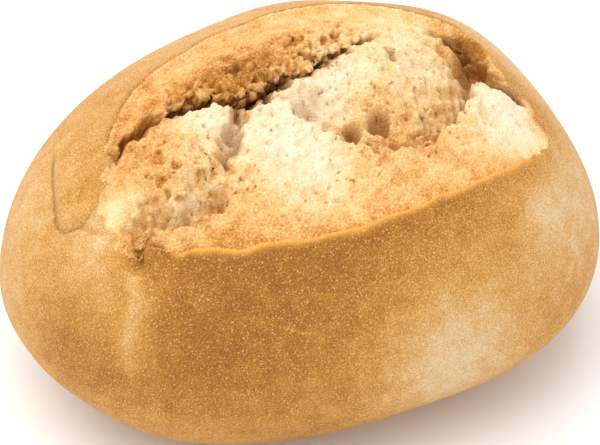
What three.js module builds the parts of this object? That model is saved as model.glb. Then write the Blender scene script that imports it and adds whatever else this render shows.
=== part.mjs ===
// A crusty bread roll whose top has torn open along one long split, as one solid.
// Millimetres, +Z up. X runs along the split, -Y is the side that the split leans towards,
// and the roll rests on its flat underside at z = 0.
import * as THREE from "three";
import { mergeVertices } from "three/addons/utils/BufferGeometryUtils.js";

// Driving dimensions of the whole roll, before its split opens. The powers are those of
// superellipses: 2 is an ellipse, and more is squarer.
const LENGTH = 108;
const WIDTH = 85.8;
const HEIGHT = 60.2;
const WAIST_HEIGHT = 20;
const UNDERSIDE_DEPTH = 24.9;
const PLAN_POWER = 2.34;
const TOP_POWER = 2;
const UNDERSIDE_POWER = 1.9;
const END_TAPER = 0.1;
const FOOT_ROUNDING = 2;

// Shallow swells and dents round the sides, each soft over its radius.
const SWELL_RADIUS = 11;
const SWELLS = [
  { name: "back left", at: [8, 29, 50], height: 0.6 },
  { name: "back right", at: [25, 26, 49], height: -0.75 },
  { name: "right shoulder", at: [42, 15, 43], height: 0.7 },
  { name: "right end", at: [49, -11, 35], height: -0.5 },
  { name: "front right foot", at: [32, -37, 13], height: 0.3 },
  { name: "front foot", at: [6, -39, 9], height: -0.45 },
  { name: "front left foot", at: [-38, -25, 10], height: 0.4 },
  { name: "left foot", at: [-48, -15, 12], height: -0.7 },
  { name: "left end", at: [-53, 10, 19], height: 0.3 },
];

// The split: an opening in plan with a rim of crust round torn crumb. The rim runs from its left
// corner along the front lip, round the right end and home along the back lip.
const RIM_CURVE = [
  [-38.5, -16.5], [-31, -21.5], [-20.5, -26.6], [-8, -29.9], [5, -30.5], [20, -28.6], [33, -24.8],
  [39.6, -19], [40, -14], [37.8, -9.5], [38, -3], [38, 4], [32.5, 11], [18, 17.4], [2, 18.6],
  [-13, 16.6], [-25, 13], [-33, 5.8], [-37.6, -1.2], [-40.4, -9],
];
const RIM_RISE = 0.4;
const RIM_WIDTH = 1.6;
const RIM_WANDER = 0.5;
const RIM_WANDER_WAVELENGTH = 13;
const RIM_STEP = 1.2;
const STEP_WIDTH = 1.6;
const OPENING_REACH = 4;
const RELIEF_FADE = 12;

// The crumb sinks behind the front lip, and hardly under the back lip, where the rim steps down.
// At the left end it doesn't sink.
const FRONT_SINK = 3;
const BACK_SINK = 0.6;
const SINK_REACH = 5;
const LEFT_EDGE = -40;
const LEFT_REACH = 10;
const FRONT_EDGE = -14;
const BACK_EDGE = 4;

// Crags of the torn crumb, which is smoother along the toasted front shelf.
const CRAG_HEIGHT = 0.6;
const CRAG_WAVELENGTH = 7;
const FINE_CRAG_HEIGHT = 0.35;
const FINE_CRAG_WAVELENGTH = 3.6;
const CRAG_REACH = 10;

// Crevices in the crumb, each along a curve in plan. The left of the curve's direction is the wall
// that slopes gently, over slope millimetres. The right is a cliff.
const CREVICES = [
  {
    name: "under the back lip",
    depth: 7,
    cliff: 1.6,
    slope: 2.8,
    curve: [
      [-36.5, -0.5], [-33.6, 1.6], [-29, 2.6], [-22, 2.4], [-14.5, 0.4], [-9.5, -2], [-3.5, -1.4],
      [3, -0.4], [11.7, 2.6], [19, 5],
    ],
  },
  {
    name: "craggy face behind it",
    depth: 2.6,
    cliff: 1,
    slope: 9.5,
    curve: [[-20, 2], [-14.5, 0.4], [-9.5, -2], [-3.5, -1.4], [3, -0.4], [11.7, 2.6], [17, 4.4]],
  },
  {
    name: "round the right end",
    depth: 8,
    cliff: 1.6,
    slope: 5.6,
    curve: [[27.5, 6.6], [31.6, 4.4], [32.8, 0], [32.4, -4.5], [33, -8.6], [35.6, -11.4], [39.4, -13.6]],
  },
  {
    name: "below the middle mound",
    depth: 6.2,
    cliff: 1.6,
    slope: 15,
    curve: [
      [-5, -4], [-2.4, -9], [1.6, -14.6], [6, -17.8], [11.5, -19], [17, -18.4], [23.5, -14.6],
      [31, -8],
    ],
  },
  {
    name: "right of the middle mound",
    depth: 8,
    cliff: 1.4,
    slope: 7,
    curve: [
      [15, -18.6], [19.5, -17.4], [23.5, -14.6], [28, -10.8], [31, -6.8], [32.4, -2], [32.8, 3],
    ],
  },
  {
    name: "beside the left lobe",
    depth: 4.2,
    cliff: 2,
    slope: 2.4,
    curve: [[-10, 0], [-13, -3.4], [-16, -7], [-19, -10.6], [-22.5, -13.6]],
  },
  {
    name: "before the left lobe",
    depth: 3.2,
    cliff: 2.4,
    slope: 3.2,
    curve: [[-40, -11.6], [-35, -13.6], [-30, -15.8], [-25, -16.8], [-20, -16.2]],
  },
];
const CREVICE_END = 5;
const CREVICE_WALL_POWER = 1.5;
const CURVE_STEPS = 64;

// Soft mounds of the crumb: middle in plan, radius and height.
const SWELLINGS = [
  { name: "left lobe", at: [-28, -6], radius: 10, height: 2.8 },
  { name: "corner knob", at: [-36.4, -16.4], radius: 2.6, height: 1.6 },
  { name: "middle mound", at: [17, -3], radius: 11, height: 1.2 },
  { name: "right shelf", at: [33, -14], radius: 8, height: 2 },
];
const SWELLING_SOFTNESS = 1.5;

// Open bubbles in the crumb: middle in plan, radius and depth.
const BUBBLES = [
  { name: "left of the mound's foot", at: [4.6, -12.4], radius: 2, depth: 2.4 },
  { name: "right of the mound's foot", at: [9.4, -13], radius: 2.6, depth: 2.8 },
  { name: "foot of the left lobe", at: [-33.4, -11.2], radius: 2.4, depth: 2 },
  { name: "right of the left valley", at: [-26, -14.6], radius: 2, depth: 1.4 },
  { name: "right shelf", at: [28.4, -16], radius: 1.5, depth: 1.3 },
];

// A tongue of crust at the left end, lifted along a curved crack.
const TONGUE_RISE = 1;
const TONGUE_EDGE = 1.2;
const TONGUE_REACH = 9;
const TONGUE_CURVE = [
  [-39.4, 15.6], [-42.5, 9.4], [-44.5, 4], [-45.8, 0.3], [-45.4, -2.2], [-43.4, -4.3],
  [-41.5, -4.4], [-40, -4],
];

// Lumps are the mean of crossing waves, each turned, shortened and shifted from the one before.
const WAVES = 4;
const WAVE_START_ANGLE = 0.6;
const WAVE_TURN = 2.4;
const WAVE_SHORTENING = 0.23;
const WAVE_SHIFT = 1.7;

// Facets: rows along each edge of the first twenty, and how much finer they are at the split.
const FACET_ROWS = 23;
const SPLIT_FINENESS = 1.8;
const SPLIT_MIDDLE = new THREE.Vector2(1, -8);

const HALF_LENGTH = LENGTH / 2;
const HALF_WIDTH = WIDTH / 2;
const TOP_HEIGHT = HEIGHT - WAIST_HEIGHT;
const TINY = 1e-9;
const CRUST_COLOUR = 0xc98f4e;

function easeBetween(low, high, value) {
  const share = Math.min(1, Math.max(0, (value - low) / (high - low)));
  return share * share * (3 - 2 * share);
}

function lumps(x, y, wavelength) {
  let sum = 0;
  for (let i = 0; i < WAVES; i++) {
    const angle = WAVE_START_ANGLE + WAVE_TURN * i;
    const pitch = (2 * Math.PI * (1 + WAVE_SHORTENING * i)) / wavelength;
    sum += Math.sin(pitch * (x * Math.cos(angle) + y * Math.sin(angle)) + WAVE_SHIFT * i);
  }
  return sum / WAVES;
}

function curveThrough(points, closed = false) {
  const knots = points.map(([x, y]) => new THREE.Vector3(x, y, 0));
  return new THREE.CatmullRomCurve3(knots, closed, "catmullrom").getPoints(CURVE_STEPS);
}

// Where a plan point lies beside a curve: its distance, positive to the left of the curve's
// direction, and how far along the curve its nearest point is, in millimetres from the nearer end.
function besideCurve(curve, x, y) {
  let best = { distance: Infinity, side: 1, along: 0 };
  let length = 0;
  for (let i = 0; i + 1 < curve.length; i++) {
    const from = curve[i];
    const stepX = curve[i + 1].x - from.x;
    const stepY = curve[i + 1].y - from.y;
    const stepLength = Math.hypot(stepX, stepY);
    const offX = x - from.x;
    const offY = y - from.y;
    const share = Math.min(1, Math.max(0, (offX * stepX + offY * stepY) / stepLength ** 2));
    const distance = Math.hypot(offX - share * stepX, offY - share * stepY);
    if (distance < best.distance) {
      const side = stepX * offY < stepY * offX ? -1 : 1;
      best = { distance, side, along: length + share * stepLength };
    }
    length += stepLength;
  }
  return { signed: best.side * best.distance, fromEnd: Math.min(best.along, length - best.along) };
}

const rimCurve = curveThrough(RIM_CURVE, true);
const creviceCurves = CREVICES.map((crevice) => curveThrough(crevice.curve));
const tongueCurve = curveThrough(TONGUE_CURVE);

// The whole roll before its split opens, as the point for a direction from its middle.
function wholeRoll(direction) {
  const above = direction.z > 0;
  const alongShare = Math.abs(direction.x / HALF_LENGTH) ** PLAN_POWER;
  const acrossShare = Math.abs(direction.y / HALF_WIDTH) ** PLAN_POWER;
  const share = (alongShare + acrossShare) ** (1 / PLAN_POWER);
  const level = Math.hypot(direction.x, direction.y);
  const spread = level ** (2 / (above ? TOP_POWER : UNDERSIDE_POWER)) / Math.max(share, TINY);
  const point = new THREE.Vector3(direction.x * spread, direction.y * spread, WAIST_HEIGHT);
  point.y *= 1 + (END_TAPER * point.x) / HALF_LENGTH;
  point.z += direction.z * (above ? TOP_HEIGHT : UNDERSIDE_DEPTH);
  const swell = SWELLS.reduce((sum, { at, height }) => {
    const away = point.distanceTo(new THREE.Vector3(...at)) / SWELL_RADIUS;
    return sum + height * Math.exp(-away * away);
  }, 0);
  return point.addScaledVector(direction, swell);
}

// The flat underside: what would reach below the base is laid on it, with a rounded edge.
function restOnBase(z) {
  if (z > FOOT_ROUNDING) return z;
  if (z < -FOOT_ROUNDING) return 0;
  return (z + FOOT_ROUNDING) ** 2 / (4 * FOOT_ROUNDING);
}

// How far a plan point lies inside the split's rim, negative on the crust outside it.
function insideRim(x, y) {
  return besideCurve(rimCurve, x, y).signed + RIM_WANDER * lumps(x, y, RIM_WANDER_WAVELENGTH);
}

// The deepest crevice at a plan point. Its depth runs out towards the ends of its curve.
function creviceDepth(x, y) {
  let deepest = 0;
  CREVICES.forEach((crevice, i) => {
    const { signed, fromEnd } = besideCurve(creviceCurves[i], x, y);
    const width = signed > 0 ? crevice.slope : crevice.cliff;
    const wall = Math.max(0, 1 - Math.abs(signed) / width) ** CREVICE_WALL_POWER;
    deepest = Math.max(deepest, crevice.depth * wall * easeBetween(0, CREVICE_END, fromEnd));
  });
  return deepest;
}

function swellingHeight(x, y) {
  return SWELLINGS.reduce((sum, { at, radius, height }) => {
    const share = Math.hypot(x - at[0], y - at[1]) / radius;
    return sum + height * Math.exp(-SWELLING_SOFTNESS * share * share);
  }, 0);
}

function bubbleDepth(x, y) {
  return BUBBLES.reduce((sum, { at, radius, depth }) => {
    const share = Math.hypot(x - at[0], y - at[1]) / radius;
    return sum + depth * Math.sqrt(Math.max(0, 1 - share * share));
  }, 0);
}

function cragHeight(x, y) {
  const ridge = 1 - 2 * Math.abs(lumps(x, y, CRAG_WAVELENGTH));
  return CRAG_HEIGHT * ridge + FINE_CRAG_HEIGHT * lumps(y, x, FINE_CRAG_WAVELENGTH);
}

// How far the split raises or lowers the roll's top at a plan point.
function splitRelief(x, y) {
  const inside = insideRim(x, y);
  const backward = easeBetween(FRONT_EDGE, BACK_EDGE, y);
  const rim = backward * RIM_RISE * Math.exp(-(((inside + RIM_WIDTH / 2) / RIM_WIDTH) ** 2));
  if (inside < 0) return rim;
  const step = backward * RIM_STEP * easeBetween(0, STEP_WIDTH, inside);
  const rightward = easeBetween(LEFT_EDGE, LEFT_EDGE + LEFT_REACH, x);
  const fullSink = rightward * (FRONT_SINK + (BACK_SINK - FRONT_SINK) * backward);
  const sink = fullSink * (1 - Math.exp(-inside / SINK_REACH));
  const hollows = swellingHeight(x, y) - creviceDepth(x, y) - bubbleDepth(x, y);
  const crags = cragHeight(x, y) * easeBetween(0, CRAG_REACH, inside);
  return rim - step - sink + easeBetween(0, OPENING_REACH, inside) * (hollows + crags);
}

// The tongue's lift: full along its crack, fading into the crust away from it.
function tongueRelief(x, y) {
  const { signed, fromEnd } = besideCurve(tongueCurve, x, y);
  const lift = easeBetween(0, TONGUE_EDGE, signed) * easeBetween(TONGUE_REACH, 0, signed);
  return TONGUE_RISE * lift * easeBetween(0, CREVICE_END, fromEnd);
}

function rollPoint(direction) {
  const point = wholeRoll(direction);
  const onTop = easeBetween(WAIST_HEIGHT, WAIST_HEIGHT + RELIEF_FADE, point.z);
  if (onTop > 0) point.z += onTop * (splitRelief(point.x, point.y) + tongueRelief(point.x, point.y));
  point.z = restOnBase(point.z);
  return point;
}

// Draws a direction towards +Z, so that the facets there are finer and keep their shape.
function drawnUp({ x, y, z }) {
  const up = SPLIT_FINENESS ** 2 * (1 + z);
  const down = 1 - z;
  const drawn = new THREE.Vector3(2 * SPLIT_FINENESS * x, 2 * SPLIT_FINENESS * y, up - down);
  return drawn.divideScalar(up + down);
}

function rollGeometry() {
  const ball = new THREE.IcosahedronGeometry(1, FACET_ROWS);
  ball.deleteAttribute("normal");
  ball.deleteAttribute("uv");
  const geometry = mergeVertices(ball);
  const positions = geometry.getAttribute("position");
  const towardsSplit = new THREE.Quaternion().setFromUnitVectors(
    new THREE.Vector3(0, 0, 1),
    new THREE.Vector3(SPLIT_MIDDLE.x, SPLIT_MIDDLE.y, TOP_HEIGHT).normalize(),
  );
  const direction = new THREE.Vector3();
  for (let i = 0; i < positions.count; i++) {
    direction.fromBufferAttribute(positions, i).normalize();
    const point = rollPoint(drawnUp(direction).applyQuaternion(towardsSplit));
    positions.setXYZ(i, point.x, point.y, point.z);
  }
  geometry.computeBoundingBox();
  const { min, max } = geometry.boundingBox;
  geometry.translate(-(min.x + max.x) / 2, -(min.y + max.y) / 2, -min.z);
  geometry.computeVertexNormals();
  return geometry;
}

const crust = new THREE.MeshStandardMaterial({ color: CRUST_COLOUR, roughness: 0.75, metalness: 0 });
const roll = new THREE.Mesh(rollGeometry(), crust);
roll.name = "bread_roll";

const part = new THREE.Group();
part.add(roll);

export default part;
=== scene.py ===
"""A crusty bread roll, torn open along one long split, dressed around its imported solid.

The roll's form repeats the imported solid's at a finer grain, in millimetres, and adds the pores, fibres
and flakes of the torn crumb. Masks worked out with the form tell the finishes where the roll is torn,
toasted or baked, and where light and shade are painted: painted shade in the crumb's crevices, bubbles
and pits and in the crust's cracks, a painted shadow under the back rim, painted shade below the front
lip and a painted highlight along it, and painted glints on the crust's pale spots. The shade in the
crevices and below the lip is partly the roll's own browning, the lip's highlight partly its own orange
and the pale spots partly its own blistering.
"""

import itertools
import logging
import math
from dataclasses import dataclass, field
from enum import Enum
from typing import Any, Mapping, Sequence, Union

import bpy
import numpy as np
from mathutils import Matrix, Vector


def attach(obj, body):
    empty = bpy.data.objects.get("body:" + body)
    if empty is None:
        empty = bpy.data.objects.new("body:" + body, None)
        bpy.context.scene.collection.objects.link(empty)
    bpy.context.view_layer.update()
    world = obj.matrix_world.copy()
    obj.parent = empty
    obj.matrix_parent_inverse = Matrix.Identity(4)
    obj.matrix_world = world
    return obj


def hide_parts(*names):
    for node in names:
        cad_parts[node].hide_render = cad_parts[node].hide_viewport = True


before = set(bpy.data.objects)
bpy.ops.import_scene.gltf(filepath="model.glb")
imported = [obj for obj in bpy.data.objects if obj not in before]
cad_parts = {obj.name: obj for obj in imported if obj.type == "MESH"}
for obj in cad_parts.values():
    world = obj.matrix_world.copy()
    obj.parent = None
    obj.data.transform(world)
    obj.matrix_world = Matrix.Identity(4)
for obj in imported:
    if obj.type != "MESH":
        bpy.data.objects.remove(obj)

Array = np.ndarray
Plan = tuple[float, float]
Place = tuple[float, float, float]
Shade = tuple[float, float, float, float]

MM = 0.001
TINY = 1e-9
log = logging.getLogger("bread_roll")


class Mask(Enum):
    """Names of the point masks that the finishes read."""

    # Toast, plus painted shade that turns the crumb's pits golden.
    TOAST_AND_PIT_SHADE = "toast"
    # Painted shade in crevices, bubbles, pits and cracks; in the crevices partly the crumb's own
    # browning.
    SHADE_AND_BROWNING = "hollow"
    # How baked the crust is, plus a painted shadow under the back rim and painted shade below the front
    # lip.
    BAKE_AND_SHADE = "bake"
    # A painted highlight along the front lip, partly the crust edge's own orange.
    LIP_TONE_AND_HIGHLIGHT = "lip"
    TORN = "torn"


class Maths(Enum):
    """The Math node operations that expressions on sockets use."""

    ADD = "ADD"
    SUBTRACT = "SUBTRACT"
    MULTIPLY = "MULTIPLY"


def ease(low: float, high: float, value: Array) -> Array:
    """Blends smoothly from 0 at low to 1 at high.

    Args:
        low: The value that gives 0. It may be the larger of the two.
        high: The value that gives 1.
        value: The values to blend.

    Returns:
        Shares from 0 to 1.
    """
    share = np.clip((value - low) / (high - low), 0.0, 1.0)
    return share * share * (3.0 - 2.0 * share)


def linear(red: int, green: int, blue: int) -> Shade:
    """Turns a screen colour into a shader colour.

    Args:
        red: Red from 0 to 255.
        green: Green from 0 to 255.
        blue: Blue from 0 to 255.

    Returns:
        Linear red, green and blue, and full alpha.
    """
    full, knee, foot, lift, power = 255.0, 0.04045, 12.92, 0.055, 2.4
    shares = (level / full for level in (red, green, blue))
    return (*(s / foot if s <= knee else ((s + lift) / (1 + lift)) ** power for s in shares), 1.0)


def lumps(x: Array, y: Array, wavelength: float) -> Array:
    """Sums crossing waves at uneven angles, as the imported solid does.

    Args:
        x: First coordinate, in millimetres.
        y: Second coordinate, in millimetres.
        wavelength: Length of the longest wave, in millimetres.

    Returns:
        Lumps from -1 to 1 that don't repeat within the roll.
    """
    waves, start_angle, turn, shortening, shift = 4, 0.6, 2.4, 0.23, 1.7
    total = np.zeros_like(x)
    for i in range(waves):
        angle = start_angle + turn * i
        pitch = 2.0 * math.pi * (1.0 + shortening * i) / wavelength
        total += np.sin(pitch * (x * math.cos(angle) + y * math.sin(angle)) + shift * i)
    return total / waves


@dataclass(frozen=True)
class Noise:
    """Seeded noise on a lattice, worked out for whole arrays of points."""

    seed: int
    gain: float = 1.6
    octave_shift: float = 17.3

    CELL_FACTORS = (374761393, 668265263, 3266489917)
    MIXERS = ((15, 2246822519), (13, 3266489917))
    LAST_SHIFT = 16
    SEED_STEP, SALT_STEP, START = 40503, 9176, 7
    WORD = 0xFFFFFFFF

    def chance(self, cells: Array, salt: int) -> Array:
        """Draws a number for each lattice cell.

        Args:
            cells: Whole-number cell indices, one row of three for each point.
            salt: Tells apart the draws of one cell.

        Returns:
            Numbers from 0 to 1.
        """
        x, y, z = (cells[:, i].astype(np.uint32) * np.uint32(f) for i, f in enumerate(self.CELL_FACTORS))
        mixed = x + y + z
        start = self.seed * self.SEED_STEP + salt * self.SALT_STEP + self.START
        mixed += np.full_like(mixed, start & self.WORD)
        for shift, factor in self.MIXERS:
            mixed = (mixed ^ (mixed >> np.uint32(shift))) * np.uint32(factor)
        return (mixed ^ (mixed >> np.uint32(self.LAST_SHIFT))) / float(self.WORD)

    def smooth(self, points: Array, size: float) -> Array:
        """Gradient noise.

        Args:
            points: Points in millimetres.
            size: Lattice spacing in millimetres.

        Returns:
            Values from about -1 to 1.
        """
        scaled = points / size
        base = np.floor(scaled).astype(np.int64)
        within = scaled - base
        fade = within**3 * (within * (within * 6.0 - 15.0) + 10.0)
        total = np.zeros(len(points))
        for corner in itertools.product((0, 1), repeat=3):
            cell = base + corner
            slope = np.stack([self.chance(cell, i) for i in range(3)], 1) * 2.0 - 1.0
            weight = np.prod(np.where(corner, fade, 1.0 - fade), axis=1)
            total += weight * np.sum(slope * (within - corner), axis=1)
        return self.gain * total

    def rough(self, points: Array, size: float, octaves: int) -> Array:
        """Sums octaves of gradient noise, each half as large and half as high as the one before.

        Args:
            points: Points in millimetres.
            size: Lattice spacing of the first octave, in millimetres.
            octaves: How many to sum.

        Returns:
            Values from about -1.5 to 1.5.
        """
        shift = self.octave_shift
        return sum(self.smooth(points + shift * i, size / 2**i) / 2**i for i in range(octaves))


@dataclass(frozen=True)
class PlanCurve:
    """A smooth curve through points in plan, in millimetres."""

    knots: tuple[Plan, ...]
    closed: bool = False
    steps: int = 64

    def points(self) -> Array:
        """Lays points along the curve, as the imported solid's curves do.

        Returns:
            Points in plan, from the first knot to the last, or round to the first where it is closed.
        """
        knots = np.array(self.knots)
        if self.closed:
            around = np.vstack([knots[-1:], knots, knots[:2]])
        else:
            around = np.vstack([2 * knots[:1] - knots[1:2], knots, 2 * knots[-1:] - knots[-2:-1]])
        spans = len(around) - 3
        at = np.linspace(0.0, spans, self.steps + 1)
        first = np.minimum(at.astype(int), spans - 1)
        t = (at - first)[:, None]
        before, start, end, after = (around[first + i] for i in range(4))
        leave, arrive = (end - before) / 2, (after - start) / 2
        bend = 3 * (end - start) - 2 * leave - arrive
        return start + leave * t + bend * t**2 + (2 * (start - end) + leave + arrive) * t**3

    def beside(self, plan: Array) -> tuple[Array, Array]:
        """Finds where points in plan lie beside the curve.

        Args:
            plan: Points in plan, one row of two for each.

        Returns:
            The distance to the curve, positive to the left of its direction, and how far along the
            curve the nearest point is from the curve's nearer end.
        """
        curve = self.points()
        nearest = np.full(len(plan), np.inf)
        side = np.ones(len(plan))
        along = np.zeros(len(plan))
        length = 0.0
        for start, end in zip(curve[:-1], curve[1:]):
            step = end - start
            span = float(np.hypot(*step))
            offset = plan - start
            share = np.clip(offset @ step / span**2, 0.0, 1.0)
            distance = np.hypot(*(offset - share[:, None] * step).T)
            closer = distance < nearest
            nearest[closer] = distance[closer]
            turn = step[0] * offset[:, 1] < step[1] * offset[:, 0]
            side[closer] = np.where(turn[closer], -1.0, 1.0)
            along[closer] = length + share[closer] * span
            length += span
        return side * nearest, np.minimum(along, length - along)


@dataclass(frozen=True)
class Swell:
    """A shallow swell, or a dent where its height is negative, on the roll's side."""

    at: Place
    height: float


@dataclass(frozen=True)
class Crevice:
    """A crevice in the crumb: a gentle wall to the left of its curve and a cliff to the right."""

    depth: float
    cliff: float
    slope: float
    curve: PlanCurve
    lean: Plan = (0.0, 0.0)
    # How strongly painted shade, partly the walls' own browning, darkens the crevice's walls.
    wall_shade_and_browning: float = 0.0
    end: float = 5.0
    wall_power: float = 1.5

    def opening(self, plan: Array) -> Array:
        """Measures how deep points in plan lie in the crevice.

        Args:
            plan: Points in plan.

        Returns:
            Shares of the full depth, running out towards the ends of the curve.
        """
        signed, from_end = self.curve.beside(plan)
        width = np.where(signed > 0, self.slope, self.cliff)
        wall = np.clip(1 - np.abs(signed) / width, 0, 1) ** self.wall_power
        return wall * ease(0, self.end, from_end)


@dataclass(frozen=True)
class Mound:
    """A soft mound of crumb, or a hollow where its height is negative."""

    at: Plan
    radius: float
    height: float


@dataclass(frozen=True)
class Bubble:
    """An open bubble in the crumb."""

    at: Plan
    radius: float
    depth: float


@dataclass(frozen=True)
class Tint:
    """A soft patch where a mask is stronger, or weaker where its strength is negative."""

    at: Place
    radius: float
    strength: float

    def spread(self, points: Array) -> Array:
        """Gives the patch's share of the mask at each point.

        Args:
            points: Points in millimetres, with as many coordinates as the patch's place has.

        Returns:
            The patch's strength, fading over its radius.
        """
        span = np.linalg.norm(points - np.array(self.at)[: points.shape[1]], axis=1) / self.radius
        return self.strength * np.exp(-span * span)


@dataclass(frozen=True)
class Body:
    """The whole roll before its split opens."""

    length: float = 108.0
    width: float = 85.8
    height: float = 60.2
    waist_height: float = 20.0
    underside_depth: float = 24.9
    plan_power: float = 2.34
    top_power: float = 2.0
    underside_power: float = 1.9
    end_taper: float = 0.1
    foot_rounding: float = 2.0
    swell_radius: float = 11.0
    swells: tuple[Swell, ...] = (
        Swell((8, 29, 50), 0.6),
        Swell((25, 26, 49), -0.75),
        Swell((42, 15, 43), 0.7),
        Swell((49, -11, 35), -0.5),
        Swell((32, -37, 13), 0.3),
        Swell((6, -39, 9), -0.45),
        Swell((-38, -25, 10), 0.4),
        Swell((-48, -15, 12), -0.7),
        Swell((-53, 10, 19), 0.3),
    )

    @property
    def top_height(self) -> float:
        """Height of the top above the waist."""
        return self.height - self.waist_height

    def points(self, directions: Array) -> Array:
        """Finds the whole roll's points.

        Args:
            directions: Unit directions from the roll's middle.

        Returns:
            The point for each direction.
        """
        x, y, z = directions.T
        above = z > 0
        along = np.abs(x / (self.length / 2)) ** self.plan_power
        across = np.abs(y / (self.width / 2)) ** self.plan_power
        power = np.where(above, self.top_power, self.underside_power)
        reach = np.maximum((along + across) ** (1 / self.plan_power), TINY)
        spread = np.hypot(x, y) ** (2 / power) / reach
        points = np.stack([x * spread, y * spread, np.full_like(x, self.waist_height)], 1)
        points[:, 1] *= 1 + self.end_taper * points[:, 0] / (self.length / 2)
        points[:, 2] += z * np.where(above, self.top_height, self.underside_depth)
        swell = sum(Tint(s.at, self.swell_radius, s.height).spread(points) for s in self.swells)
        return points + directions * swell[:, None]

    def rest(self, z: Array) -> Array:
        """Lays what would reach below the base on it, with a rounded edge.

        Args:
            z: Heights, some of them below the base.

        Returns:
            Heights that are nowhere below the base.
        """
        rounding = self.foot_rounding
        return np.where(z > rounding, z, np.maximum(z + rounding, 0.0) ** 2 / (4 * rounding))


@dataclass(frozen=True)
class Split:
    """The torn opening: a rim of crust round sunk crumb with crevices, mounds, bubbles and crags."""

    rim: PlanCurve = PlanCurve(
        (
            (-38.5, -16.5), (-31, -21.5), (-20.5, -26.6), (-8, -29.9), (5, -30.5), (20, -28.6),
            (33, -24.8), (39.6, -19), (40, -14), (37.8, -9.5), (38, -3), (38, 4), (32.5, 11),
            (18, 17.4), (2, 18.6),
            (-13, 16.6), (-25, 13), (-33, 5.8), (-37.6, -1.2), (-40.4, -9),
        ),
        closed=True,
    )
    rim_rise: float = 0.4
    rim_width: float = 1.6
    rim_wander: float = 0.5
    rim_wander_wavelength: float = 13.0
    rim_step: float = 1.2
    step_width: float = 1.6
    opening_reach: float = 4.0
    front_sink: float = 3.0
    back_sink: float = 0.6
    sink_reach: float = 5.0
    front_edge: float = -14.0
    back_edge: float = 4.0
    left_edge: float = -40.0
    left_reach: float = 10.0
    crag_height: float = 0.6
    crag_wavelength: float = 7.0
    fine_crag_height: float = 0.35
    fine_crag_wavelength: float = 3.6
    crag_reach: float = 10.0
    ragged: float = 1.4
    ragged_size: float = 2.4
    ragged_octaves: int = 3
    ragged_shift: float = 31.7
    ragged_left: Plan = (-30.0, -38.0)
    ragged_right: Plan = (32.0, 40.0)
    lip_ragged: float = 0.12
    bubble_ragged: float = 0.3
    noise: Noise = Noise(11)
    crevices: tuple[Crevice, ...] = (
        # Under the back lip.
        Crevice(5.5, 1.2, 2.4, PlanCurve((
            (-36.5, -0.5), (-33.6, 1.6), (-29, 2.6), (-22, 2.4), (-14.5, 0.4), (-9.5, -2), (-3.5, -1.4),
            (3, -0.4), (11.7, 2.6), (19, 5),
        )), lean=(-0.6, 2.6), wall_shade_and_browning=0.8),
        # The deepest stretch of it.
        Crevice(7.5, 2.0, 3.2, PlanCurve((
            (-25, 2.8), (-19, 1.8), (-14.5, 0.4), (-9.5, -2), (-3.5, -1.4), (3, -0.4),
        )), lean=(-0.3, 3.2), wall_shade_and_browning=0.8),
        # The craggy face behind it.
        Crevice(2.6, 1.0, 9.5, PlanCurve((
            (-20, 2), (-14.5, 0.4), (-9.5, -2), (-3.5, -1.4), (3, -0.4), (11.7, 2.6), (17, 4.4),
        ))),
        # Round the right end.
        Crevice(8.0, 1.6, 5.6, PlanCurve((
            (27.5, 6.6), (31.6, 4.4), (32.8, 0), (32.4, -4.5), (33, -8.6), (35.6, -11.4), (39.4, -13.6),
        )), lean=(3.0, 1.0), wall_shade_and_browning=0.8),
        # Below the middle mound.
        Crevice(6.2, 1.6, 15.0, PlanCurve((
            (-5, -4), (-2.4, -9), (1.6, -14.6), (6, -17.8), (11.5, -19), (17, -18.4), (23.5, -14.6),
            (31, -8),
        ))),
        # Right of the middle mound.
        Crevice(8.0, 1.4, 7.0, PlanCurve((
            (15, -18.6), (19.5, -17.4), (23.5, -14.6), (28, -10.8), (31, -6.8), (32.4, -2), (32.8, 3),
        )), wall_shade_and_browning=0.25),
        # Beside the left lobe.
        Crevice(5.0, 2.0, 2.6, PlanCurve((
            (-9, 1.5), (-12, -2.4), (-15, -6), (-18, -9.6), (-22, -13.4),
        )), wall_shade_and_browning=0.35),
        # Before the left lobe.
        Crevice(4.4, 2.4, 4.4, PlanCurve((
            (-40, -11.6), (-35, -13.6), (-30, -15.8), (-25, -16.8), (-20, -16.2),
        )), wall_shade_and_browning=0.2, end=3.0),
    )
    mounds: tuple[Mound, ...] = (
        Mound((-28, -5.6), 9.5, 3.8),
        Mound((-36.4, -16.4), 2.6, 1.6),
        Mound((17, -3), 11, 1.2),
        Mound((33, -14), 8, 2.0),
    )
    mound_softness: float = 1.5
    bubbles: tuple[Bubble, ...] = (
        Bubble((4.4, -12), 1.5, 2.4),
        Bubble((9.6, -12.4), 2.1, 3.6),
        Bubble((-33.4, -11.2), 2.4, 1.2),
        Bubble((-26, -14.6), 2.0, 0.8),
        Bubble((28.4, -16), 1.5, 1.3),
        Bubble((17.7, -0.4), 1.1, 3.6),
        Bubble((17.4, -2.4), 0.9, 2.6),
        Bubble((34.1, -18.3), 0.8, 0.9),
        Bubble((39.6, -18.3), 0.8, 0.9),
        Bubble((-4.8, -26.1), 0.9, 0.6),
        Bubble((-13.6, -22.4), 0.7, 0.5),
        Bubble((-18.1, -11.5), 0.9, 1.0),
        Bubble((-26.3, -0.2), 0.6, 0.8),
    )

    def inside(self, plan: Array) -> Array:
        """Measures how far points in plan lie inside the rim.

        Args:
            plan: Points in plan.

        Returns:
            Distances, negative on the crust outside the rim.
        """
        wander = lumps(plan[:, 0], plan[:, 1], self.rim_wander_wavelength)
        return self.rim.beside(plan)[0] + self.rim_wander * wander

    def crevice_depth(self, plan: Array) -> Array:
        """Finds the deepest crevice at each point in plan.

        Args:
            plan: Points in plan.

        Returns:
            Depths, running out towards the ends of each crevice.
        """
        return np.max([crevice.depth * crevice.opening(plan) for crevice in self.crevices], axis=0)

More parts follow.
